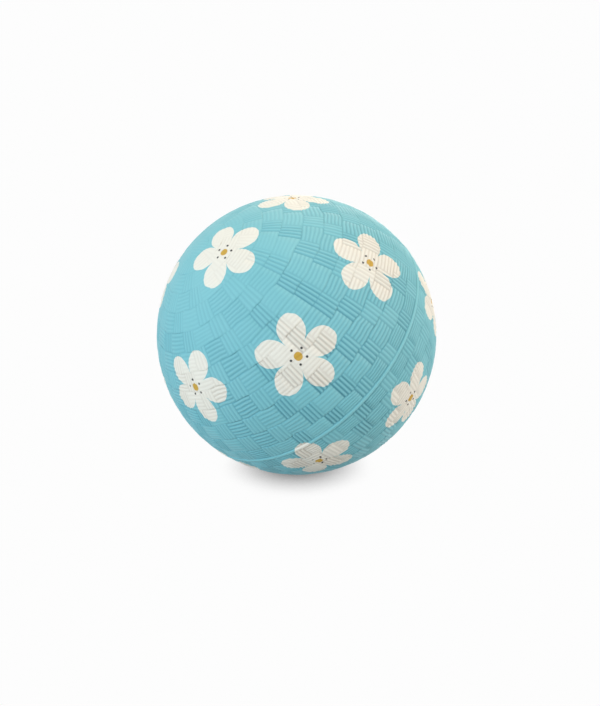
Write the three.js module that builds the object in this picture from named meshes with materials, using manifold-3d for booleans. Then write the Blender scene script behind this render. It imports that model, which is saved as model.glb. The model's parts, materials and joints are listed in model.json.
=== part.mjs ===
// Inflatable rubber playground ball, in millimetres, +Z up, origin at the centre of the ball.
//
// Two moulded cover halves meet edge to edge at the parting line and lie on one air-tight bladder.
// A needle valve stands at the pole of the far half: a housing with a flange, a self-sealing core and
// a reinforcing patch round the hole in the bladder. The outside of the cover is a moulded basket
// weave: rows of blocks round each pole, whose strands run along the row and across it by turns.
import * as THREE from 'three';
import { mergeVertices } from 'three/addons/utils/BufferGeometryUtils.js';
import Module from 'manifold-3d';

// The whole ball
const BALL_DIAMETER = 180; // over the crests of the weave
const FLAT_DEPTH = 0.5; // how far its weight presses the lowest point flat
const AXIS_LEAN = 49.5; // degrees from upright to the near pole, as the ball lies
const AXIS_HEADING = 215.5; // degrees from +X round to the near pole, seen from above

// Walls, from the outside in
const COVER_WALL = 1.5; // crest of the weave to the inner face
const BLADDER_WALL = 0.7;
const PATCH_WALL = 0.8;
const LAYER_GAP = 0.3; // clearance between faces that are bonded together

// Basket weave; lengths lie along the outside of the ball
const WEAVE_DEPTH = 0.7; // crest to groove floor
const ROW_HEIGHT = 11.3;
const EDGE_ROW_HEIGHT = 8.8; // the shorter row beside the parting line
const ALONG_LENGTH = 12.6; // a block whose strands run along its row
const ACROSS_WIDTH = 9.4; // a block whose strands run across its row
const ALONG_STRANDS = 2; // in a block along its row, drawn wider than the five of the mould
const ACROSS_STRANDS = 2; // in a block across its row, drawn wider than the four of the mould
const LEAST_PAIRS = 3; // of blocks, in the row next to a pole
const STRAND_END = 1.5; // slope where a strand dips under its neighbours
const DISC_SLOPE = 0.6; // round the edge of the disc at each pole
const PLAIN_POLE_RADIUS = 7.6; // the round block inside the first row
const VALVE_POLE_RADIUS = 14; // the smooth disc round the valve

// Moulding bead, halved by the parting line
const BEAD_TOP = 0.4;
const BEAD_FOOT = 0.7;
const BEAD_GROOVE = 0.6; // smooth floor between the bead and the edge row

// Needle valve
const CORE_DIAMETER = 6;
const CORE_CHAMFER = 0.6;
const FUNNEL_DIAMETER = 1.6; // lead-in for the needle
const FUNNEL_DEPTH = 3;
const NUB_RECESS = 0.6; // the core's nub below the face of the neck
const NECK_WALL = 1.4; // round the core
const NECK_CHAMFER = 0.5;
const FACE_RECESS = 0.5; // the face of the neck below the crest of the cover
const MOUTH_DIAMETER = 3;
const MOUTH_CHAMFER = 0.4;
const MOUTH_WALL = 2.2; // over the core
const BOSS_WALL = 3.2; // round the core, inside the ball
const BOSS_LENGTH = 14; // below the flange
const BOSS_CHAMFER = 1;
const LIP_DIAMETER = 3.2; // hole that the core is pushed in past
const LIP_WALL = 1.2;
const FLANGE_REACH = 7; // past the boss
const FLANGE_WALL = 1.4; // at the boss
const FLANGE_EDGE = 0.7;
const PATCH_MARGIN = 7.5; // past the flange
const HOLE_CHAMFER = 0.6; // round the hole in the cover

// Facets
const SIDES = 24;
const RIM_SIDES = 40;
const STATION_STEP = 15; // degrees of polar angle
const MERGE_LENGTH = 1.5; // corners closer than this on a seam share a point

const TURN = 2 * Math.PI;
const QUARTER = Math.PI / 2;
const lean = THREE.MathUtils.degToRad(AXIS_LEAN);
const heading = THREE.MathUtils.degToRad(AXIS_HEADING);

// Radii of the layers, from the centre of the ball
const crestRadius = BALL_DIAMETER / 2;
const grooveRadius = crestRadius - WEAVE_DEPTH;
const coverInside = crestRadius - COVER_WALL;
const bladderOutside = coverInside - LAYER_GAP;
const bladderInside = bladderOutside - BLADDER_WALL;
const patchOutside = bladderInside - LAYER_GAP;
const patchInside = patchOutside - PATCH_WALL;
const flangeOutside = patchInside - LAYER_GAP;
const flangeInside = flangeOutside - FLANGE_WALL;

// Radii of the valve, from its own axis
const coreRadius = CORE_DIAMETER / 2;
const cavityRadius = coreRadius + LAYER_GAP;
const neckRadius = cavityRadius + NECK_WALL;
const bossRadius = cavityRadius + BOSS_WALL;
const mouthRadius = MOUTH_DIAMETER / 2;
const holeRadius = neckRadius + LAYER_GAP;

// Polar angles that the layers share, so that their facets lie parallel
const flangePolar = Math.asin((bossRadius + FLANGE_REACH) / flangeOutside);
const patchPolar = Math.asin((bossRadius + FLANGE_REACH + PATCH_MARGIN) / patchOutside);
const valveStations = [flangePolar, patchPolar, ...evenSteps(patchPolar, QUARTER)];
const nearStations = evenSteps(0, QUARTER);

// Even marks from one end to the other, with both ends.
function evenMarks(from, to, count) {
  return Array.from({ length: count + 1 }, (_, i) => from + ((to - from) * i) / count);
}

// Polar angles from one end to the other, without the first.
function evenSteps(from, to) {
  const count = Math.max(1, Math.round(THREE.MathUtils.radToDeg(to - from) / STATION_STEP));
  return evenMarks(from, to, count).slice(1);
}

// Height on a sphere at a distance from its axis.
function heightAt(sphereRadius, axisDistance) {
  return Math.sqrt(sphereRadius ** 2 - axisDistance ** 2);
}

// An angle brought into one turn, with rounding just below zero read as zero.
function wrap(angle) {
  const turned = angle % TURN;
  return turned < -1e-6 ? turned + TURN : turned;
}

function spherePoint(radius, polar, azimuth) {
  const reach = radius * Math.sin(polar);
  return [reach * Math.cos(azimuth), reach * Math.sin(azimuth), radius * Math.cos(polar)];
}

function azimuthOf(point) {
  return wrap(Math.atan2(point.y, point.x));
}

// A skin of triangles between loops of points about the polar axis +Z.
class Skin {
  points = [];

  faces = [];

  add(radius, polar, azimuth) {
    this.points.push(new THREE.Vector3(...spherePoint(radius, polar, azimuth)));
    return this.points.length - 1;
  }

  ring(radius, polar, sides) {
    return Array.from({ length: sides }, (_, i) => this.add(radius, polar, (i * TURN) / sides));
  }

  inOrder(loop) {
    const entries = loop.map((index) => ({ index, angle: azimuthOf(this.points[index]) }));
    return entries.sort((a, b) => a.angle - b.angle);
  }

  // Fills between a loop and one that lies inside it, or follows before it along the profile.
  join(outerLoop, innerLoop) {
    const outer = this.inOrder(outerLoop);
    const inner = this.inOrder(innerLoop);
    const item = (loop, i) => loop[i % loop.length].index;
    const angle = (loop, i) => loop[i % loop.length].angle + (i < loop.length ? 0 : TURN);
    let o = 0;
    let i = 0;
    while (o < outer.length || i < inner.length) {
      const innerDone = i === inner.length;
      const outerNext = o < outer.length && (innerDone || angle(outer, o + 1) <= angle(inner, i + 1));
      if (outerNext) {
        this.faces.push([item(outer, o), item(outer, o + 1), item(inner, i)]);
        o += 1;
      } else {
        this.faces.push([item(outer, o), item(inner, i + 1), item(inner, i)]);
        i += 1;
      }
    }
  }

  // Closes a ring over one point on the axis; the other way round under it.
  close(ring, apex, under = false) {
    ring.forEach((index, i) => {
      const next = ring[(i + 1) % ring.length];
      this.faces.push(under ? [next, index, apex] : [index, next, apex]);
    });
  }

  // Roofs a loop, counter-clockwise seen from outside, over the two ends of a ridge.
  roof(loop, ridge) {
    const [first, last] = ridge.map((index) => this.points[index]);
    const nearer = (index) => {
      const point = this.points[index];
      return point.distanceTo(first) < point.distanceTo(last) ? ridge[0] : ridge[1];
    };
    loop.forEach((index, i) => {
      const next = loop[(i + 1) % loop.length];
      this.faces.push([index, next, nearer(index)]);
      if (nearer(index) !== nearer(next)) this.faces.push([next, nearer(next), nearer(index)]);
    });
  }

  geometry() {
    const geometry = new THREE.BufferGeometry();
    geometry.setFromPoints(this.points);
    geometry.setIndex(this.faces.flat());
    return geometry;
  }
}

// The groove between two rows, with the corners of the blocks and strands on both sides of it.
class Seam {
  constructor(skin, polar, corners) {
    const least = MERGE_LENGTH / (grooveRadius * Math.sin(polar));
    const sorted = corners.map(wrap).sort((a, b) => a - b);
    const kept = [sorted[0]];
    for (const angle of sorted) {
      if (angle - kept.at(-1) > least) kept.push(angle);
    }
    if (kept[0] + TURN - kept.at(-1) < least) kept.pop();
    this.polar = polar;
    this.angles = kept;
    this.loop = kept.map((angle) => skin.add(grooveRadius, polar, angle));
  }

  nearest(azimuth) {
    const away = this.angles.map((angle) => Math.abs(Math.sin((angle - azimuth) / 2)));
    return away.indexOf(Math.min(...away));
  }

  // The points of the seam from one corner to another.
  between(from, to) {
    const first = this.nearest(from);
    const size = this.loop.length;
    const count = (this.nearest(to) - first + size) % size;
    return Array.from({ length: count + 1 }, (_, i) => this.loop[(first + i) % size]);
  }
}

// Polar angles of the seams of one half, from the pole's disc to the groove of the bead.
function seamPolars(poleRadius) {
  const last = QUARTER - (BEAD_FOOT + BEAD_GROOVE) / crestRadius;
  const edgeRow = last - EDGE_ROW_HEIGHT / crestRadius;
  const first = poleRadius / crestRadius;
  const count = Math.max(1, Math.round(((edgeRow - first) * crestRadius) / ROW_HEIGHT));
  return [...evenMarks(first, edgeRow, count), last];
}

// The blocks of one row. By turns, a block across the row and one along it lie on azimuth 0.
function rowBlocks(north, south, index) {
  const girth = TURN * crestRadius * Math.sin((north + south) / 2);
  const pairs = Math.max(LEAST_PAIRS, Math.round(girth / (ALONG_LENGTH + ACROSS_WIDTH)));
  const pitch = TURN / pairs;
  const half = (pitch * ALONG_LENGTH) / (ALONG_LENGTH + ACROSS_WIDTH) / 2;
  const start = index % 2 === 0 ? pitch / 2 : 0;
  return Array.from({ length: pairs }, (_, i) => start + i * pitch).flatMap((middle) => [
    { along: true, corners: [middle - half, middle + half] },
    { along: false, corners: evenMarks(middle + half, middle + pitch - half, ACROSS_STRANDS) },
  ]);
}

// A block of strands along the row, one below the other.
function addAlongBlock(skin, block, west, east, north, south) {
  const [from, to] = block.corners;
  const polars = evenMarks(north.polar, south.polar, 2 * ALONG_STRANDS);
  const inner = west.map((index, i) => [index, east[i]]);
  const grooves = [north.between(from, to), ...inner, south.between(from, to)];
  grooves.slice(1).forEach((lower, i) => {
    const polar = polars[2 * i + 1];
    const inset = STRAND_END / (crestRadius * Math.sin(polar));
    const ridge = [from + inset, to - inset].map((azimuth) => skin.add(crestRadius, polar, azimuth));
    skin.roof([...lower, ...grooves[i].toReversed()], ridge);
  });
}

// A block of strands across the row, side by side.
function addAcrossBlock(skin, block, west, east, north, south) {
  const inset = STRAND_END / crestRadius;
  block.corners.slice(1).forEach((to, i) => {
    const from = block.corners[i];
    const upper = north.between(from, to).toReversed();
    const lower = south.between(from, to);
    const left = i === 0 ? west : [];
    const right = i === ACROSS_STRANDS - 1 ? east.toReversed() : [];
    const ends = [north.polar + inset, south.polar - inset];
    const ridge = ends.map((polar) => skin.add(crestRadius, polar, (from + to) / 2));
    skin.roof([...lower, ...right, ...upper, ...left], ridge);
  });
}

// One row of blocks. The grooves of those along the row end on the sides that they share with the others.
function addRow(skin, blocks, north, south) {
  const polars = evenMarks(north.polar, south.polar, ALONG_STRANDS).slice(1, -1);
  const sides = blocks.map(({ corners }) => polars.map((polar) => skin.add(grooveRadius, polar, corners[0])));
  blocks.forEach((block, i) => {
    const addBlock = block.along ? addAlongBlock : addAcrossBlock;
    addBlock(skin, block, sides[i], sides[(i + 1) % blocks.length], north, south);
  });
}

// The round block at the near pole.
function addPoleBlock(skin, seam) {
  const top = skin.ring(crestRadius, seam.polar - DISC_SLOPE / crestRadius, SIDES);
  skin.join(seam.loop, top);
  skin.close(top, skin.add(crestRadius, 0, 0));
}

// The disc at the far pole: smooth, with a chamfered hole for the neck of the valve. Returns the
// lower edge of the hole.
function addValveDisc(skin, seam) {
  const outerEdge = skin.ring(crestRadius, seam.polar - DISC_SLOPE / crestRadius, SIDES);
  const chamferEdge = skin.ring(crestRadius, Math.asin((holeRadius + HOLE_CHAMFER) / crestRadius), SIDES);
  const holeTop = crestRadius - HOLE_CHAMFER;
  const holeEdge = skin.ring(holeTop, Math.asin(holeRadius / holeTop), SIDES);
  const holeFoot = skin.ring(coverInside, Math.asin(holeRadius / coverInside), SIDES);
  const inward = [seam.loop, outerEdge, chamferEdge, holeEdge, holeFoot];
  inward.slice(1).forEach((loop, i) => skin.join(inward[i], loop));
  return holeFoot;
}

// Polar angle of a sphere's edge at the parting line.
function partingPolar(radius) {
  return Math.acos(LAYER_GAP / 2 / radius);
}

// One half of the cover, with its pole at +Z.
function coverHalf(hasValve) {
  const skin = new Skin();
  const polars = seamPolars(hasValve ? VALVE_POLE_RADIUS : PLAIN_POLE_RADIUS);
  const rows = polars.slice(1).map((south, i) => rowBlocks(polars[i], south, i));
  const seams = polars.map((polar, i) => {
    const touching = [...(rows[i - 1] ?? []), ...(rows[i] ?? [])];
    const roundCorners = i > 0 ? [] : Array.from({ length: SIDES }, (_, k) => (k * TURN) / SIDES);
    return new Seam(skin, polar, [...roundCorners, ...touching.flatMap((block) => block.corners)]);
  });
  rows.forEach((blocks, i) => addRow(skin, blocks, seams[i], seams[i + 1]));

  const profile = [
    skin.ring(grooveRadius, QUARTER - BEAD_FOOT / crestRadius, RIM_SIDES),
    skin.ring(crestRadius, QUARTER - BEAD_TOP / crestRadius, RIM_SIDES),
    skin.ring(crestRadius, partingPolar(crestRadius), RIM_SIDES),
    skin.ring(coverInside, partingPolar(coverInside), SIDES),
  ];
  const inside = hasValve ? valveStations : nearStations;
  for (const polar of inside.slice(0, -1).reverse()) profile.push(skin.ring(coverInside, polar, SIDES));
  skin.join(profile[0], seams.at(-1).loop);
  profile.slice(1).forEach((loop, i) => skin.join(loop, profile[i]));

  if (hasValve) {
    skin.join(addValveDisc(skin, seams[0]), profile.at(-1));
  } else {
    addPoleBlock(skin, seams[0]);
    skin.close(profile.at(-1), skin.add(coverInside, 0, 0), true);
  }
  return skin.geometry();
}

// A body turned about +Z from a profile of distances and heights.
function turned(profile) {
  const outline = profile.map(([distance, height]) => new THREE.Vector2(distance, height));
  return closed(new THREE.LatheGeometry(outline, SIDES).rotateX(QUARTER));
}

// The same surface with its points shared and its folded triangles left out.
function closed(geometry) {
  geometry.deleteAttribute('normal');
  geometry.deleteAttribute('uv');
  const merged = mergeVertices(geometry, 1e-4);
  const index = merged.getIndex().array;
  const kept = [];
  for (let i = 0; i < index.length; i += 3) {
    const [a, b, c] = index.slice(i, i + 3);
    if (a !== b && b !== c && c !== a) kept.push(a, b, c);
  }
  merged.setIndex(kept);
  return merged;
}

const wasm = await Module();
wasm.setup();

function toSolid(geometry) {
  const shared = closed(geometry);
  return new wasm.Manifold(
    new wasm.Mesh({
      numProp: 3,
      vertProperties: new Float32Array(shared.getAttribute('position').array),
      triVerts: new Uint32Array(shared.getIndex().array),
    }),
  );
}

function cut(geometry, tool) {
  const mesh = toSolid(geometry).subtract(toSolid(tool)).getMesh();
  const result = new THREE.BufferGeometry();
  result.setAttribute('position', new THREE.BufferAttribute(mesh.vertProperties, 3));
  result.setIndex(new THREE.BufferAttribute(mesh.triVerts, 1));
  return result;
}

// The floor, as a block that the ball's lowest point is pressed flat against.
function floorBlock() {
  const floor = new THREE.BoxGeometry(crestRadius, crestRadius, crestRadius);
  floor.translate(0, 0, crestRadius - FLAT_DEPTH + crestRadius / 2);
  return floor.rotateY(lean);
}

function onSphere(radius, polar) {
  return [radius * Math.sin(polar), radius * Math.cos(polar)];
}

function onHole(radius, axisDistance) {
  return [axisDistance, heightAt(radius, axisDistance)];
}

// Air-tight bag, open only where the neck of the valve passes.
function bladder() {
  const polars = [...valveStations, ...nearStations.slice(0, -1).reverse().map((polar) => Math.PI - polar)];
  const wall = (radius) => [
    onHole(radius, holeRadius),
    ...polars.map((polar) => onSphere(radius, polar)),
    [0, -radius],
  ];
  return turned([...wall(bladderInside).reverse(), ...wall(bladderOutside)].reverse());
}

// Doubler round the valve hole, inside the bladder.
function valvePatch() {
  const face = (radius) => [
    onHole(radius, holeRadius),
    onSphere(radius, flangePolar),
    onSphere(radius, patchPolar),
  ];
  const outline = [...face(patchInside), ...face(patchOutside).reverse()];
  return turned([...outline, outline[0]]);
}

// Heights along the valve's axis
const neckFace = crestRadius - FACE_RECESS;
const cavityTop = neckFace - MOUTH_WALL;
const bossEnd = heightAt(flangeInside, bossRadius) - BOSS_LENGTH;
const cavityFloor = bossEnd + LIP_WALL;

// Neck, flange and boss in one moulding, hollow for the core.
function valveHousing() {
  const lipRadius = LIP_DIAMETER / 2;
  const outline = [
    [mouthRadius + MOUTH_CHAMFER, neckFace],
    [mouthRadius, neckFace - MOUTH_CHAMFER],
    [mouthRadius, cavityTop],
    [cavityRadius, cavityTop],
    [cavityRadius, cavityFloor],
    [lipRadius, cavityFloor],
    [lipRadius, bossEnd],
    [bossRadius - BOSS_CHAMFER, bossEnd],
    [bossRadius, bossEnd + BOSS_CHAMFER],
    onHole(flangeInside, bossRadius),
    onSphere(flangeOutside - FLANGE_EDGE, flangePolar),
    onSphere(flangeOutside, flangePolar),
    onHole(flangeOutside, neckRadius),
    [neckRadius, neckFace - NECK_CHAMFER],
    [neckRadius - NECK_CHAMFER, neckFace],
  ];
  return turned([...outline, outline[0]]);
}

// Soft plug that closes behind the needle, with a nub in the mouth of the housing.
function valveCore() {
  const foot = cavityFloor + LAYER_GAP;
  const shoulder = cavityTop - LAYER_GAP;
  const nubRadius = mouthRadius - LAYER_GAP;
  const nubTop = neckFace - NUB_RECESS;
  return turned([
    [0, foot],
    [coreRadius - CORE_CHAMFER, foot],
    [coreRadius, foot + CORE_CHAMFER],
    [coreRadius, shoulder],
    [nubRadius, shoulder],
    [nubRadius, nubTop],
    [FUNNEL_DIAMETER / 2, nubTop],
    [0, nubTop - FUNNEL_DEPTH],
  ]);
}

const coverRubber = { color: '#72bccb', roughness: 0.55, metalness: 0 };
const bladderRubber = { color: '#b98f5c', roughness: 0.7, metalness: 0 };
const valveRubber = { color: '#3b3d40', roughness: 0.6, metalness: 0 };
const coreRubber = { color: '#d9c79c', roughness: 0.65, metalness: 0 };

function piece(name, geometry, finish) {
  const mesh = new THREE.Mesh(geometry, new THREE.MeshStandardMaterial(finish));
  mesh.name = name;
  return mesh;
}

// The pieces of the valve side share a frame with the valve's axis at +Z.
const valveSide = new THREE.Group();
valveSide.rotation.x = Math.PI;
valveSide.add(
  piece('valve_cover_half', cut(coverHalf(true), floorBlock()), coverRubber),
  piece('bladder', bladder(), bladderRubber),
  piece('valve_patch', valvePatch(), valveRubber),
  piece('valve_housing', valveHousing(), valveRubber),
  piece('valve_core', valveCore(), coreRubber),
);

const ball = new THREE.Group();
ball.name = 'playground_ball';
ball.rotation.set(0, lean, heading, 'ZYX');
ball.add(piece('plain_cover_half', coverHalf(false), coverRubber), valveSide);

export default ball;
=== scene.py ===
"""Looks of an inflatable rubber playground ball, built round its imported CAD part.

Each half of the cover is one closed skin in metres. A Geometry Nodes tree makes one row of the basket
weave, and the rows are stitched seam by seam to the disc at the pole, the moulding bead and the inner
wall.
"""

import json
import logging
import math
from dataclasses import asdict, dataclass, fields
from enum import Enum
from functools import partial

import bpy
import numpy as np
from mathutils import Matrix, Vector


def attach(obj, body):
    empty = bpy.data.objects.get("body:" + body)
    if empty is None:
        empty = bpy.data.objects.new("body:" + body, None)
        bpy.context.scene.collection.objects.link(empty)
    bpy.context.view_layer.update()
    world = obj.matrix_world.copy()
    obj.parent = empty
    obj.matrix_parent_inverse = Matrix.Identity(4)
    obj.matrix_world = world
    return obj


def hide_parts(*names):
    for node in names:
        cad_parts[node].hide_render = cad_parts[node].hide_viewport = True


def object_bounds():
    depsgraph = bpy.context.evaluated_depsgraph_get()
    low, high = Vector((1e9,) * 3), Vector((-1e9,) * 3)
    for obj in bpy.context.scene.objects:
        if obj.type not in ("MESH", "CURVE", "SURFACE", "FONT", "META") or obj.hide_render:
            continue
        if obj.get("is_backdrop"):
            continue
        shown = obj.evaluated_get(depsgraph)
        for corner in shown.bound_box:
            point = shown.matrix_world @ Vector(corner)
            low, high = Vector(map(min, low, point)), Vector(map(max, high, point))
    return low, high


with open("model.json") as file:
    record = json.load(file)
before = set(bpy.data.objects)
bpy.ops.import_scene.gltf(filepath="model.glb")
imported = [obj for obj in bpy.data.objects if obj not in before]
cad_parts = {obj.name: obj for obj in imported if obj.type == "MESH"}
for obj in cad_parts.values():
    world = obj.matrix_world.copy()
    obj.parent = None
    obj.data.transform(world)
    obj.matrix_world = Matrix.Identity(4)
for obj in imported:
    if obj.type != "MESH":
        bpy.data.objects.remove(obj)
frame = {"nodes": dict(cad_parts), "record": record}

MM = 0.001
TURN = 2 * math.pi
QUARTER = math.pi / 2
BODY = "root"
DEPTH_LAYER = "depth"
BAND_LAYER = "band"
PRINT_LAYER = "print"
SWITCH = "GeometryNodeSwitch"
RANGE = "ShaderNodeMapRange"
NOISE = "ShaderNodeTexNoise"
MIX = "ShaderNodeMix"

# Numbers of the Mix node's sockets for colours, whose names repeat: three inputs and the output
SHARE, UNDER, OVER, MIXED = 0, 6, 7, 2

# Numbers of the Random Value node's sockets for plain numbers: two inputs and the output
LEAST, GREATEST, DRAWN = 2, 3, 1

Point = tuple[float, float, float]
Socket = bpy.types.NodeSocket

# What a Math node does, by Blender's names
Op = Enum(
    "Op",
    "ADD SUBTRACT MULTIPLY DIVIDE MULTIPLY_ADD POWER ABSOLUTE MINIMUM MAXIMUM LESS_THAN GREATER_THAN "
    "ROUND FLOOR FRACT MODULO SINE COSINE ARCTAN2",
)

log = logging.getLogger("playground_ball")


def linear(hex_colour: str) -> tuple[float, float, float, float]:
    """Turns an sRGB hex colour into the linear colour that Blender's sockets hold.

    Args:
        hex_colour: Colour written as "#rrggbb".

    Returns:
        Red, green, blue and alpha from 0 to 1.
    """
    channels = [int(hex_colour[i : i + 2], 16) / 255 for i in (1, 3, 5)]
    lit = [c / 12.92 if c <= 0.04045 else ((c + 0.055) / 1.055) ** 2.4 for c in channels]
    return (lit[0], lit[1], lit[2], 1.0)


def add_node(
    tree: bpy.types.NodeTree,
    kind: str | Op,
    feeds: dict | tuple = (),
    out: int | str = 0,
    **settings: object,
) -> Socket:
    """Adds one node, sets it up and feeds its inputs.

    Args:
        tree: Tree that gets the node.
        kind: Blender's type name of the node, or what a Math node does.
        feeds: Sockets to link and values to set, in order or by the input's name or number.
        out: Name or number of the output to return.
        **settings: Properties of the node.

    Returns:
        The chosen output, or the node's first input where it has no output.
    """
    if isinstance(kind, Op):
        settings["operation"] = kind.name
        kind = "ShaderNodeMath"
    node = tree.nodes.new(kind)
    for name, value in settings.items():
        setattr(node, name, value)
    for key, value in feeds.items() if isinstance(feeds, dict) else enumerate(feeds):
        if isinstance(value, Socket):
            tree.links.new(value, node.inputs[key])
        else:
            node.inputs[key].default_value = value
    return node.outputs[out] if node.outputs else node.inputs[0]


def add_chain(tree: bpy.types.NodeTree, value: float | Socket, *steps: tuple) -> Socket:
    """Adds nodes one after the other.

    Args:
        tree: Tree that gets the nodes.
        value: Feeds the first node.
        *steps: Kind of each node, and what feeds its inputs after the first.

    Returns:
        Output of the last node.
    """
    for kind, *others in steps:
        value = add_node(tree, kind, (value, *others))
    return value


def new_material(name: str) -> tuple[bpy.types.Material, bpy.types.NodeTree, bpy.types.Node]:
    """Starts a material.

    Args:
        name: Of the material.

    Returns:
        The material, its tree and its shader.
    """
    material = bpy.data.materials.new(name)
    material.use_nodes = True
    return material, material.node_tree, material.node_tree.nodes["Principled BSDF"]


def add_object(name: str, data: bpy.types.ID) -> bpy.types.Object:
    """Puts a mesh, a lamp or a camera into the scene.

    Args:
        name: Of the object.
        data: What it shows.

    Returns:
        The object, at the origin.
    """
    item = bpy.data.objects.new(name, data)
    bpy.context.scene.collection.objects.link(item)
    return item


def read_values(
    layer: bpy.types.bpy_prop_collection, name: str, width: int = 1, kind: type = np.float32
) -> np.ndarray:
    """Reads one property of a mesh layer as an array.

    Args:
        layer: Vertices, loops, polygons or the data of an attribute.
        name: The property.
        width: Numbers in each value.
        kind: Type of the numbers.

    Returns:
        One row for each element, or a flat array where width is 1.
    """
    values = np.empty(len(layer) * width, kind)
    layer.foreach_get(name, values)
    return values.reshape(-1, width) if width > 1 else values


@dataclass(frozen=True)
class Moulding:
    """Where the mould's axis and the layers of the ball lie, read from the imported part."""

    valve_pole: Vector
    floor_pole: Vector
    crest_radius: float
    floor_height: float
    valve_face: float

    @classmethod
    def from_frame(cls, record: dict, low: Vector, high: Vector) -> "Moulding":
        """Reads the moulding from the record's mounts and the CAD box.

        Args:
            record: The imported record.
            low: Lowest corner of the CAD box.
            high: Highest corner of the CAD box.

        Returns:
            The moulding, with the largest ball that stays inside the box.
        """
        mounts = {mount["name"]: mount for mount in record["mounts"]}
        valve = Vector(mounts["valve_face"]["axis"]).normalized()
        floor = Vector(mounts["floor_patch"]["axis"]).normalized()
        reach = min(-low.x, -low.y, high.x, high.y, high.z)
        face = Vector(mounts["valve_face"]["pos_m"]).dot(valve)
        return cls(valve, floor, reach, low.z, face)

    def turn(self, pole: Vector) -> Matrix:
        """Turns a half's own frame, with its pole at +Z, into the ball's.

        Args:
            pole: Unit vector to the pole of that half.

        Returns:
            The rotation, whose +X leans from the pole to the floor.
        """
        ahead = (self.floor_pole - pole * self.floor_pole.dot(pole)).normalized()
        return Matrix((ahead, pole.cross(ahead), pole)).transposed()


@dataclass(frozen=True)
class Weave:
    """Sizes of the basket weave that every row shares, in metres and radians."""

    crest_radius: float
    seam_depth: float = 0.5 * MM
    along_depth: float = 0.6 * MM
    across_depth: float = 0.8 * MM
    bow: float = 0.25 * MM
    least_relief: float = 0.4
    pole_relief: float = 0.2
    full_relief: float = math.radians(75)
    along_share: float = 0.575
    along_ribs: int = 5
    across_ribs: int = 4
    strand_end: float = 0.45 * MM
    strand_side: float = 0.4 * MM
    seam_gap: float = 0.05 * MM
    overhang: float = 0.03 * MM
    wander: float = 0.35 * MM
    wander_length: float = 9 * MM
    seed: int = 7


@dataclass(frozen=True)
class Row:
    """One row of the weave, as angles from the pole and round it."""

    north: float
    south: float
    north_wander: float
    south_wander: float
    heading: float
    pairs: int


@dataclass
class Strip:
    """The mesh of one row, with its two edges in order round the pole."""

    points: np.ndarray
    depths: np.ndarray
    faces: np.ndarray
    north: np.ndarray
    south: np.ndarray


@dataclass(frozen=True)
class Spot:
    """Which block a point of the row is on, the block's angle round the pole, and places from 0 to 1.

    The places are round the pole on the block, down the row, and across the strand.
    """

    across: Socket
    pair: Socket
    block: Socket
    width: Socket
    round_place: Socket
    down_place: Socket
    swell: Socket


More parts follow.
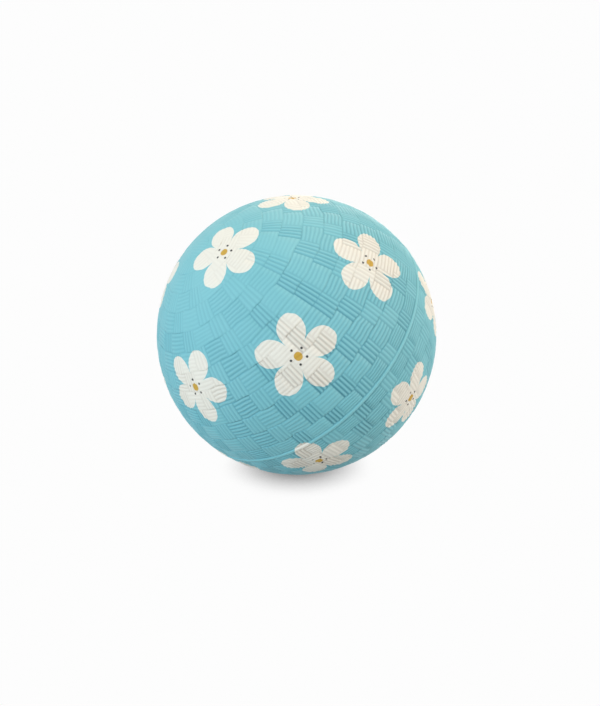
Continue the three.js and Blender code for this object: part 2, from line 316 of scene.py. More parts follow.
class WovenRowTree:
    """Geometry Nodes tree that makes one row of blocks.

    Strands run along the row in one block and across it in the next.
    """

    ALONG_COLUMNS = 5
    RIB_STEPS = 4
    END_CROWDING = 0.95
    RIB_CROWDING = 0.1
    GROOVE_POWER = 1.3
    NARROW = 1e-3
    MERGE = 1e-6
    SOCKETS = {int: "NodeSocketInt", float: "NodeSocketFloat"}

    def __init__(self, material: bpy.types.Material) -> None:
        """Builds the tree.

        Args:
            material: Finish that the tree sets on its mesh.
        """
        self.tree = bpy.data.node_groups.new("woven row", "GeometryNodeTree")
        node = self.node = partial(add_node, self.tree)
        chain = self.chain = partial(add_chain, self.tree)
        face = self.tree.interface
        for item in (*fields(Weave), *fields(Row)):
            face.new_socket(name=item.name, in_out="INPUT", socket_type=self.SOCKETS[item.type])
        face.new_socket(name="geometry", in_out="OUTPUT", socket_type="NodeSocketGeometry")
        given = self.given = self.tree.nodes.new("NodeGroupInput").outputs

        # Values that are the same all over the row
        self.blocks = node(Op.MULTIPLY, (given["pairs"], 2.0))
        self.pitch = node(Op.DIVIDE, (TURN, given["pairs"]))
        self.along_width = node(Op.MULTIPLY, (self.pitch, given["along_share"]))
        self.across_width = node(Op.SUBTRACT, (self.pitch, self.along_width))
        self.middle = chain(given["north"], (Op.ADD, given["south"]), (Op.MULTIPLY, 0.5))
        self.girth = chain(self.middle, (Op.SINE,), (Op.MULTIPLY, given["crest_radius"]))
        self._build(material)

    def _build(self, material: bpy.types.Material) -> None:
        """Adds the nodes, from an even grid to the row on the ball.

        Args:
            material: Finish that the tree sets on its mesh.
        """
        node, given = self.node, self.given
        shape, spot = self._spread()
        azimuth = self._azimuth(spot)
        north, height = self._between_seams(spot, azimuth)
        polar = node(Op.MULTIPLY_ADD, (spot.down_place, height, north))
        depth, drop = self._relief(spot, height)
        radius = node(Op.SUBTRACT, (given["crest_radius"], drop))
        outward = self._outward(polar, azimuth)
        landed = node("ShaderNodeVectorMath", {0: outward, "Scale": radius}, operation="SCALE")
        for name, value in ((DEPTH_LAYER, depth), (BAND_LAYER, spot.down_place)):
            kept = {"Geometry": shape, "Name": name, "Value": value}
            shape = node("GeometryNodeStoreNamedAttribute", kept, data_type="FLOAT", domain="POINT")
        shape = node("GeometryNodeSetPosition", {"Geometry": shape, "Position": landed})
        shape = node("GeometryNodeMergeByDistance", {"Geometry": shape, "Distance": self.MERGE})
        shape = node("GeometryNodeRealizeInstances", (shape,))
        shape = node("GeometryNodeSetMaterial", {"Geometry": shape, "Material": material})
        node("NodeGroupOutput", (shape,))

    def _spread(self) -> tuple[Socket, Spot]:
        """Makes an even grid, and finds the block and the strand that each of its points is for.

        Returns:
            The grid, and the spots of its points.
        """
        node, chain, given = self.node, self.chain, self.given
        across_columns = (Op.MULTIPLY, self.RIB_STEPS)
        columns = chain(given["across_ribs"], across_columns, (Op.ADD, self.ALONG_COLUMNS))
        width = node(Op.MULTIPLY, (given["pairs"], columns))
        height = node(Op.MULTIPLY, (given["along_ribs"], self.RIB_STEPS))
        wide = node(Op.ADD, (width, 1.0))
        high = node(Op.ADD, (height, 1.0))
        grid = node("GeometryNodeMeshGrid", (width, height, wide, high))

        # Whole steps round the row and down it
        place = node("GeometryNodeInputPosition")
        flat_x = node("ShaderNodeSeparateXYZ", (place,), out="X")
        flat_y = node("ShaderNodeSeparateXYZ", (place,), out="Y")
        column = chain(width, (Op.MULTIPLY_ADD, 0.5, flat_x), (Op.ROUND,))
        step = chain(height, (Op.MULTIPLY, 0.5), (Op.SUBTRACT, flat_y), (Op.ROUND,))

        # The pair of blocks, and which of the two the step is on
        pair = chain(column, (Op.ADD, 0.5), (Op.DIVIDE, columns), (Op.FLOOR,))
        before = node(Op.MULTIPLY, (pair, columns))
        inside = node(Op.SUBTRACT, (column, before))
        across = node(Op.GREATER_THAN, (inside, self.ALONG_COLUMNS - 0.5))
        block = node(Op.MULTIPLY_ADD, (pair, 2.0, across))

        # Places from 0 to 1
        even = node(Op.DIVIDE, (inside, self.ALONG_COLUMNS))
        along_place = self._crowded(even, self.END_CROWDING)
        rib_step = node(Op.SUBTRACT, (inside, self.ALONG_COLUMNS))
        across_rib, across_swell = self._ribs(rib_step)
        across_place = node(Op.DIVIDE, (across_rib, given["across_ribs"]))
        along_rib, along_swell = self._ribs(step)
        down_place = node(Op.DIVIDE, (along_rib, given["along_ribs"]))
        choices = (
            (self.along_width, self.across_width),
            (along_place, across_place),
            (along_swell, across_swell),
        )
        chosen = [node(SWITCH, (across, *choice), input_type="FLOAT") for choice in choices]
        return grid, Spot(across, pair, block, chosen[0], chosen[1], down_place, chosen[2])

    def _azimuth(self, spot: Spot) -> Socket:
        """Gives the angle round the pole, with each block's edges a little off the even spacing.

        Args:
            spot: The points' spots.

        Returns:
            The angle.
        """
        node, given = self.node, self.given
        start = node(Op.MULTIPLY_ADD, (self.along_width, -0.5, given["heading"]))
        start = node(Op.MULTIPLY_ADD, (spot.pair, self.pitch, start))
        start = node(Op.MULTIPLY_ADD, (spot.across, self.along_width, start))
        reach = node(Op.DIVIDE, (given["wander"], self.girth))
        back = node(Op.MULTIPLY, (reach, -1.0))
        after = node(Op.ADD, (spot.block, 1.0))
        first_shift = self._drawn(spot.block, back, reach)
        last_shift = self._drawn(after, back, reach)
        spread = self.chain(last_shift, (Op.SUBTRACT, first_shift), (Op.ADD, spot.width))
        azimuth = node(Op.ADD, (start, first_shift))
        return node(Op.MULTIPLY_ADD, (spot.round_place, spread, azimuth))

    def _between_seams(self, spot: Spot, azimuth: Socket) -> tuple[Socket, Socket]:
        """Finds the row's edges, where strands across the row reach a little over the seams.

        Args:
            spot: The points' spots.
            azimuth: Angle round the pole.

        Returns:
            Angle from the pole to the north edge, and from there to the south edge.
        """
        node, given = self.node, self.given
        at_side = node(Op.LESS_THAN, (spot.round_place, self.NARROW))
        lean = node(SWITCH, (spot.across, 1.0, -1.0), input_type="FLOAT")
        lean = node(SWITCH, (at_side, lean, 0.0), input_type="FLOAT")
        reach = (Op.MULTIPLY_ADD, given["overhang"], given["seam_gap"])
        inset = self.chain(lean, reach, (Op.DIVIDE, given["crest_radius"]))
        north = node(Op.ADD, (self._seam("north", azimuth), inset))
        south = node(Op.SUBTRACT, (self._seam("south", azimuth), inset))
        return north, node(Op.SUBTRACT, (south, north))

    def _relief(self, spot: Spot, height: Socket) -> tuple[Socket, Socket]:
        """Dips the strands at their ends, at the block's sides and between each other.

        Args:
            spot: The points' spots.
            height: Angle between the row's edges.

        Returns:
            Depth of the strands below the crest, and that depth with the bow of the block.
        """
        node, chain, given = self.node, self.chain, self.given
        rib_depths = (spot.across, given["along_depth"], given["across_depth"])
        rib_depth = node(SWITCH, rib_depths, input_type="FLOAT")
        groove = chain(spot.swell, (Op.MULTIPLY_ADD, 2.0, -1.0), (Op.ABSOLUTE,))
        depth = chain(groove, (Op.POWER, self.GROOVE_POWER), (Op.MULTIPLY, rib_depth))
        round_run = node(Op.MULTIPLY, (spot.width, self.girth))
        down_run = node(Op.MULTIPLY, (height, given["crest_radius"]))
        round_way = self._to_edge(spot.round_place, round_run)
        down_way = self._to_edge(spot.down_place, down_run)
        for slope, along_way, across_way in (
            ("strand_end", round_way, down_way),
            ("strand_side", down_way, round_way),
        ):
            way = node(SWITCH, (spot.across, along_way, across_way), input_type="FLOAT")
            dip = {"Value": way, "From Max": given[slope], "To Min": given["seam_depth"], "To Max": 0.0}
            dip = node(RANGE, dip, interpolation_type="SMOOTHSTEP")
            depth = node(Op.MAXIMUM, (depth, dip))
        relief = self._drawn(spot.block, given["least_relief"], 1.0)
        depth = node(Op.MULTIPLY, (depth, relief))

        # Each block bows across its strands, and all relief is shallow near the pole
        bow = node(SWITCH, (spot.across, spot.down_place, spot.round_place), input_type="FLOAT")
        bow = node(Op.MULTIPLY_ADD, (bow, 2.0, -1.0))
        bow = node(Op.MULTIPLY, (bow, bow))
        drop = node(Op.MULTIPLY_ADD, (bow, given["bow"], depth))
        share = {"Value": self.middle, "From Max": given["full_relief"], "To Min": given["pole_relief"]}
        share = node(RANGE, share, interpolation_type="SMOOTHSTEP")
        return node(Op.MULTIPLY, (depth, share)), node(Op.MULTIPLY, (drop, share))

    def _crowded(self, value: Socket, amount: float) -> Socket:
        """Crowds even steps from 0 to 1 towards both ends.

        Args:
            value: Steps from 0 to 1.
            amount: 0 leaves them even, and 1 makes them stand still at the ends.

        Returns:
            The crowded steps.
        """
        swing = self.chain(value, (Op.MULTIPLY, TURN), (Op.SINE,))
        return self.node(Op.MULTIPLY_ADD, (swing, -amount / TURN, value))

    def _ribs(self, step: Socket) -> tuple[Socket, Socket]:
        """Splits a step across the strands into a whole strand and a place on it.

        Args:
            step: Whole number of steps from the first groove.

        Returns:
            The steps in strands, and the place on the strand from 0 to 1.
        """
        in_ribs = (Op.DIVIDE, self.RIB_STEPS)
        whole = self.chain(step, (Op.ADD, 0.5), in_ribs, (Op.FLOOR,))
        rest = self.chain(whole, (Op.MULTIPLY_ADD, -self.RIB_STEPS, step), in_ribs)
        place = self._crowded(rest, self.RIB_CROWDING)
        return self.node(Op.ADD, (whole, place)), place

    def _drawn(self, block: Socket, low: float | Socket, high: float | Socket) -> Socket:
        """Draws a number for a block, the same one again a whole turn round the row.

        Args:
            block: Number of the block in the row.
            low: Least number, as a value or a socket.
            high: Greatest number.

        Returns:
            The number.
        """
        whole = self.node(Op.MODULO, (block, self.blocks))
        limits = {LEAST: low, GREATEST: high, "ID": whole, "Seed": self.given["seed"]}
        return self.node("FunctionNodeRandomValue", limits, out=DRAWN, data_type="FLOAT")

    def _outward(self, polar: Socket, azimuth: Socket) -> Socket:
        """Turns two angles into a direction.

        Args:
            polar: Angle from the pole.
            azimuth: Angle round the pole.

        Returns:
            The unit vector.
        """
        wide = self.node(Op.SINE, (polar,))
        high = self.node(Op.COSINE, (polar,))
        ahead = self.chain(azimuth, (Op.COSINE,), (Op.MULTIPLY, wide))
        aside = self.chain(azimuth, (Op.SINE,), (Op.MULTIPLY, wide))
        return self.node("ShaderNodeCombineXYZ", (ahead, aside, high))

    def _seam(self, side: str, azimuth: Socket) -> Socket:
        """Lets a seam wander to and fro, alike for the rows on both sides of it.

        Args:
            side: The row's side, "north" or "south".
            azimuth: Angle round the pole.

        Returns:
            The seam's angle from the pole.
        """
        node, given = self.node, self.given
        place = self._outward(given[side], azimuth)
        scale = node(Op.DIVIDE, (given["crest_radius"], given["wander_length"]))
        sway = node(NOISE, {"Vector": place, "Scale": scale, "Detail": 0.0})
        reach = node(Op.DIVIDE, (given[f"{side}_wander"], given["crest_radius"]))
        return self.chain(sway, (Op.MULTIPLY_ADD, 2.0, -1.0), (Op.MULTIPLY_ADD, reach, given[side]))

    def _to_edge(self, place: Socket, run: Socket) -> Socket:
        """Measures from a place between two edges, 0 to 1 of the run, to the nearer edge."""
        return self.chain(1.0, (Op.SUBTRACT, place), (Op.MINIMUM, place), (Op.MULTIPLY, run))

    def strip(self, weave: Weave, row: Row) -> Strip:
        """Makes the mesh of one row.

        Args:
            weave: Sizes that every row shares.
            row: Place of this row.

        Returns:
            The row's points, depths, faces and edges.
        """
        carrier = add_object("row", bpy.data.meshes.new("row"))
        modifier = carrier.modifiers.new("weave", "NODES")
        modifier.node_group = self.tree
        values = {**asdict(weave), **asdict(row)}
        for item in self.tree.interface.items_tree:
            if item.in_out == "INPUT":
                modifier[item.identifier] = values[item.name]
        depsgraph = bpy.context.evaluated_depsgraph_get()
        mesh = bpy.data.meshes.new_from_object(carrier.evaluated_get(depsgraph))
        points = read_values(mesh.vertices, "co", 3)
        band = read_values(mesh.attributes[BAND_LAYER].data, "value")
        depths = read_values(mesh.attributes[DEPTH_LAYER].data, "value")
        corners = read_values(mesh.loops, "vertex_index", kind=np.int32)
        azimuth = np.arctan2(points[:, 1], points[:, 0])
        edges = [np.flatnonzero(edge) for edge in (band < self.MERGE, band > 1 - self.MERGE)]
        north, south = (edge[np.argsort(azimuth[edge])] for edge in edges)
        bpy.data.objects.remove(carrier)
        bpy.data.meshes.remove(mesh)
        return Strip(points, depths, corners.reshape(-1, 4), north, south)


class Skin:
    """A closed skin about +Z that grows ring by ring."""

    def __init__(self) -> None:
        """Starts with no points."""
        self.points: list[Point] = []
        self.depths: list[float] = []
        self.faces: list[tuple[int, ...]] = []

    def add(self, point: Point, depth: float = 0.0) -> int:
        """Adds one point at a depth below the crest.

        Args:
            point: Its place.
            depth: Below the crest.

        Returns:
            The point's number.
        """
        self.points.append(point)
        self.depths.append(depth)
        return len(self.points) - 1

    def ring(self, distance: float, height: float, count: int, depth: float = 0.0) -> list[int]:
        """Adds a ring of points about the axis.

        Args:
            distance: From the axis.
            height: Along the axis.
            count: Points in the ring.
            depth: Of the ring below the crest.

        Returns:
            The points' numbers, in order of azimuth from -180 degrees.
        """
        angles = [TURN * i / count - math.pi for i in range(count)]
        places = [(distance * math.cos(a), distance * math.sin(a), height) for a in angles]
        return [self.add(place, depth) for place in places]

    def strip(self, strip: Strip) -> tuple[list[int], list[int]]:
        """Adds a row of the weave.

        Args:
            strip: The row.

        Returns:
            The row's north and south edges.
        """
        first = len(self.points)
        self.points.extend(map(tuple, strip.points.tolist()))
        self.depths.extend(strip.depths.tolist())
        self.faces.extend(map(tuple, (strip.faces + first).tolist()))
        return (strip.north + first).tolist(), (strip.south + first).tolist()

    def stitch(self, upper: list[int], lower: list[int]) -> None:
        """Joins two loops of any number of points with a band that faces outwards.

        Args:
            upper: The loop nearer the pole on the outside, in order of azimuth.
            lower: The loop below it.
        """
        above = [self._azimuth(index) for index in upper]
        below = [self._azimuth(index) for index in lower]
        u = v = 0
        while u < len(upper) or v < len(lower):
            next_above = above[u + 1] if u + 1 < len(upper) else above[0] + TURN
            next_below = below[v + 1] if v + 1 < len(lower) else below[0] + TURN
            a, b = upper[u % len(upper)], lower[v % len(lower)]
            if v == len(lower) or (u < len(upper) and next_above <= next_below):
                u += 1
                self.faces.append((a, b, upper[u % len(upper)]))
            else:
                v += 1
                self.faces.append((a, b, lower[v % len(lower)]))

    def _azimuth(self, index: int) -> float:
        """Gives a point's angle round the axis."""
        return math.atan2(self.points[index][1], self.points[index][0])

    def close(self, loop: list[int], apex: int, over: bool) -> None:
        """Closes a loop with one point on the axis, as a top or as the ceiling of the hollow.

        Args:
            loop: Points in order of azimuth.
            apex: The point on the axis.
            over: True for a top that faces outwards.
        """
        for here, after in zip(loop, loop[1:] + loop[:1]):
            self.faces.append((apex, here, after) if over else (apex, after, here))

    def mesh(self, name: str, turn: Matrix) -> bpy.types.Mesh:
        """Makes the skin a mesh in the ball's frame.

        Args:
            name: Of the mesh.
            turn: From the skin's frame to the ball's.

        Returns:
            The mesh, smooth, with the depth below the crest as an attribute.
        """
        mesh = bpy.data.meshes.new(name)
        mesh.from_pydata(self.points, [], self.faces)
        layer = mesh.attributes.new(DEPTH_LAYER, "FLOAT", "POINT")
        layer.data.foreach_set("value", self.depths)
        mesh.transform(turn.to_4x4())
        mesh.shade_smooth()
        return mesh


@dataclass(frozen=True)
class Blossoms:
    """Print of five-petalled blossoms, spread over the ball along a spiral."""

    count: int = 22
    petal_reach: float = 22 * MM
    spiral_axis: Point = (0.25, -0.35, 0.9)
    spiral_start: float = 2.2
    spin: float = 2.4
    golden_angle: float = math.pi * (3 - math.sqrt(5))

    def centres(self) -> np.ndarray:
        """Sets out the blossoms.

        Returns:
            Their directions from the centre of the ball, one in each row.
        """
        heights = 1 - (2 * np.arange(self.count) + 1) / self.count
        angles = self.spiral_start + self.golden_angle * np.arange(self.count)
        wide = np.sqrt(1 - heights**2)
        spiral = np.column_stack((wide * np.cos(angles), wide * np.sin(angles), heights))
        axis = Vector(self.spiral_axis).to_track_quat("Z", "Y").to_matrix()
        return spiral @ np.array(axis).T

    def place(self, mesh: bpy.types.Mesh) -> None:
        """Writes each face's place on the nearest blossom into a UV map.

        The blossom's middle is at the origin of the map and its petals reach a distance of 1.

        Args:
            mesh: A half of the cover, in the ball's frame.
        """
        centres = self.centres()
        points = read_values(mesh.vertices, "co", 3).astype(float)
        away = np.linalg.norm(points, axis=1)
        scale = away.max() / self.petal_reach
        points /= away[:, None]
        corners = read_values(mesh.loops, "vertex_index", kind=np.int32)
        sizes = read_values(mesh.polygons, "loop_total", kind=np.int32)
        middles = read_values(mesh.polygons, "center", 3)
        nearest = np.repeat(np.argmax(middles @ centres.T, axis=1), sizes)
        flat = np.zeros((len(corners), 2))
        for number, centre in enumerate(centres):
            mine = nearest == number
            turn = Vector(centre).to_track_quat("Z", "Y").to_matrix()
            turn = turn @ Matrix.Rotation(self.spin * number, 3, "Z")
            local = points[corners[mine]] @ np.array(turn)
            reach = np.arccos(np.clip(local[:, 2], -1, 1)) * scale
            bearing = np.arctan2(local[:, 1], local[:, 0])
            flat[mine] = np.column_stack((reach * np.cos(bearing), reach * np.sin(bearing)))
        layer = mesh.uv_layers.new(name=PRINT_LAYER)
        layer.uv.foreach_set("vector", flat.astype(np.float32).ravel())


class Pole(Enum):
    """What stands at the pole of a half."""

    PLAIN = "a round block of straight ribs"
    VALVE = "a smooth disc with the hole for the valve"


@dataclass(frozen=True)
class Bead:
    """Moulding bead at the parting line, for one half."""

    foot: float
    groove: float
    depth: float
    proud: float = 0.2 * MM
    steps: int = 6


GENTLE_BEAD = Bead(foot=1.4 * MM, groove=0.4 * MM, depth=0.3 * MM)
STEEP_BEAD = Bead(foot=0.7 * MM, groove=0.6 * MM, depth=0.65 * MM)


@dataclass(frozen=True)
class RowPlan:
    """How the rows are set out between a pole and the bead."""

    row_height: float = 11.3 * MM
    edge_row_height: float = 8.8 * MM
    pair_length: float = 22 * MM
    seam_wander: float = 1.2 * MM
    least_pairs: int = 3

    def rows(self, weave: Weave, pole_radius: float, bead: Bead) -> list[Row]:
        """Sets out the rows of one half.

        Args:
            weave: Sizes that every row shares.
            pole_radius: Of the disc at the pole, over the outside of the ball.
            bead: The bead that the last row stops at.

        Returns:
            The rows, from the pole to the bead.
        """
        ball = weave.crest_radius
        last = QUARTER - (bead.foot + bead.groove) / ball
        edge = last - self.edge_row_height / ball
        first = pole_radius / ball
        count = max(1, round((edge - first) * ball / self.row_height))
        seams = [first + (edge - first) * i / count for i in range(count)] + [edge, last]
        rows = []
        for index, (north, south) in enumerate(zip(seams, seams[1:])):
            girth = TURN * ball * math.sin((north + south) / 2)
            pairs = max(self.least_pairs, round(girth / self.pair_length))
            heading = 0.0 if index % 2 else math.pi / pairs
            north_wander = self.seam_wander if index else 0.0
            south_wander = self.seam_wander if index < count else 0.0
            rows.append(Row(north, south, north_wander, south_wander, heading, pairs))
        return rows


@dataclass
class CoverHalf:
    """One moulded half of the cover, a closed skin from the weave to the inner wall."""

    name: str
    pole: Pole
    axis: Vector
    moulding: Moulding
    weave: Weave
    bead: Bead
    plan: RowPlan = RowPlan()
    wall: float = 1.3 * MM
    plain_pole_radius: float = 7.6 * MM
    valve_pole_radius: float = 14 * MM
    hole_radius: float = 5 * MM
    hole_round: float = 0.6 * MM
    hole_steps: int = 6
    disc_step: float = 0.45 * MM
    smooth_step: float = 0.9 * MM
    disc_sides: int = 96
    inner_sides: int = 96
    inner_rings: int = 18
    rib_pitch: float = 2.1 * MM
    parting_gap: float = 0.005 * MM

    def build(
        self, tree: WovenRowTree, printing: Blossoms, material: bpy.types.Material
    ) -> bpy.types.Object:
        """Builds the half and prints it.

        Args:
            tree: Makes the rows of the weave.
            printing: The print on the cover.
            material: Finish of the cover.

        Returns:
            The piece, at the origin.
        """
        skin = Skin()
        radius = self.plain_pole_radius if self.pole is Pole.PLAIN else self.valve_pole_radius
        plan = self.plan.rows(self.weave, radius, self.bead)
        rows = [skin.strip(tree.strip(self.weave, row)) for row in plan]
        for (_, upper), (lower, _) in zip(rows, rows[1:]):
            skin.stitch(upper, lower)
        inner = self._inner_wall(skin, self._bead(skin, rows[-1][1]))
        if self.pole is Pole.PLAIN:
            self._plain_pole(skin, rows[0][0], radius)
            ceiling = skin.add((0.0, 0.0, self.weave.crest_radius - self.wall), self.wall)
            skin.close(inner, ceiling, over=False)
        else:
            skin.stitch(inner, self._valve_disc(skin, rows[0][0], radius))
        mesh = skin.mesh(self.name, self.moulding.turn(self.axis))
        self._press_flat(mesh)
        printing.place(mesh)
        mesh.materials.append(material)
        return add_object(self.name, mesh)

    def _on_ball(self, skin: Skin, arc: float, depth: float, count: int) -> list[int]:
        """Adds a ring on the outside of the ball.

        Args:
            skin: Gets the ring.
            arc: Distance over the ball from the pole.
            depth: Below the crest.
            count: Points in the ring.

        Returns:
            The points' numbers.
        """
        polar = arc / self.weave.crest_radius
        radius = self.weave.crest_radius - depth
        return skin.ring(radius * math.sin(polar), radius * math.cos(polar), count, depth)

    def _bead(self, skin: Skin, edge: list[int]) -> list[int]:
        """Adds the groove and the half-round bead below the last row.

        Args:
            skin: Gets the rings.
            edge: South edge of the last row.

        Returns:
            The ring at the parting line.
        """
        equator = QUARTER * self.weave.crest_radius - self.parting_gap
        above = edge
        for i in range(self.bead.steps + 1):
            angle = QUARTER * i / self.bead.steps
            arc = equator - self.bead.foot * math.cos(angle)
            depth = self.bead.depth - (self.bead.depth + self.bead.proud) * math.sin(angle)
            ring = self._on_ball(skin, arc, depth, len(edge))
            skin.stitch(above, ring)
            above = ring
        return above

    def _inner_wall(self, skin: Skin, rim: list[int]) -> list[int]:
        """Adds the parting face and the inner wall up to the pole.

        Args:
            skin: Gets the rings.
            rim: Ring at the parting line.

        Returns:
            The last ring, near the pole.
        """
        inside = self.weave.crest_radius - self.wall
        top = 0.0 if self.pole is Pole.PLAIN else math.asin(self.hole_radius / inside)
        below = rim
        for i in range(self.inner_rings):
            polar = QUARTER + (top - QUARTER) * i / self.inner_rings
            height = max(inside * math.cos(polar), self.parting_gap)
            ring = skin.ring(inside * math.sin(polar), height, self.inner_sides, self.wall)
            skin.stitch(below, ring)
            below = ring
        return below

    def _plain_pole(self, skin: Skin, edge: list[int], radius: float) -> None:
        """Adds the round block of straight ribs at the near pole.

        Args:
            skin: Gets the rings.
            edge: North edge of the first row.
            radius: Of the block, over the ball.
        """
        below = edge
        reach = radius - self.weave.seam_gap
        count = round(reach / self.disc_step)
        for i in range(count):
            arc = reach * (1 - i / count)
            ring = self._on_ball(skin, arc, 0.0, self.disc_sides)
            for index in ring:
                self._sink(skin, index, self._rib_depth(skin.points[index][0], reach - arc))
            skin.stitch(ring, below)
            below = ring
        apex = skin.add((0.0, 0.0, self.weave.crest_radius))
        skin.close(below, apex, over=True)

    def _rib_depth(self, across: float, inward: float) -> float:
        """Gives the depth of the pole's straight ribs.

        Args:
            across: Distance across the ribs from the axis.
            inward: Distance in from the edge of the block.

        Returns:
            Depth below the crest.
        """
        place = (across / self.rib_pitch) % 1.0
        groove = self.weave.along_depth * abs(2 * place - 1) ** WovenRowTree.GROOVE_POWER
        slope = min(1.0, inward / self.weave.strand_side)
        return self.weave.pole_relief * max(groove, self.weave.seam_depth * (1 - slope))

    def _sink(self, skin: Skin, index: int, depth: float) -> None:
        """Moves a point on the crest down towards the centre of the ball.

        Args:
            skin: Holds the point.
            index: The point's number.
            depth: Below the crest.
        """
        scale = 1 - depth / self.weave.crest_radius
        skin.points[index] = tuple(scale * c for c in skin.points[index])
        skin.depths[index] = depth

    def _valve_disc(self, skin: Skin, edge: list[int], radius: float) -> list[int]:
        """Adds the smooth disc round the valve and the wall of its hole.

        Args:
            skin: Gets the rings.
            edge: North edge of the first row.
            radius: Of the disc, over the ball.

        Returns:
            The inner edge of the hole.
        """
        crest = self.weave.crest_radius
        reach = radius - self.weave.seam_gap
        rim = self.hole_radius + self.hole_round
        turn_in = crest * math.asin(rim / crest)
        below = edge
        count = round((reach - turn_in) / self.smooth_step)
        for i in range(count + 1):
            inward = (reach - turn_in) * i / count
            slope = max(0.0, 1 - inward / self.weave.strand_side)
            ring = self._on_ball(skin, reach - inward, self.weave.seam_depth * slope, self.disc_sides)
            skin.stitch(ring, below)
            below = ring
        rim_height = math.sqrt(crest**2 - rim**2)
        for i in range(1, self.hole_steps + 1):
            angle = QUARTER * i / self.hole_steps
            distance = self.hole_radius + self.hole_round * (1 - math.sin(angle))
            height = rim_height - self.hole_round * (1 - math.cos(angle))
            ring = skin.ring(distance, height, self.disc_sides, crest - height)
            skin.stitch(ring, below)
            below = ring
        foot_height = math.sqrt((crest - self.wall) ** 2 - self.hole_radius**2)
        foot = skin.ring(self.hole_radius, foot_height, self.disc_sides, self.wall)
        skin.stitch(foot, below)
        return foot

    def _press_flat(self, mesh: bpy.types.Mesh) -> None:
        """Presses the lowest point flat where the ball stands on the floor.

        Args:
            mesh: The half, in the ball's frame.
        """
        points = read_values(mesh.vertices, "co", 3)
        points[:, 2] = np.maximum(points[:, 2], self.moulding.floor_height)
        mesh.vertices.foreach_set("co", points.ravel())
        mesh.update()


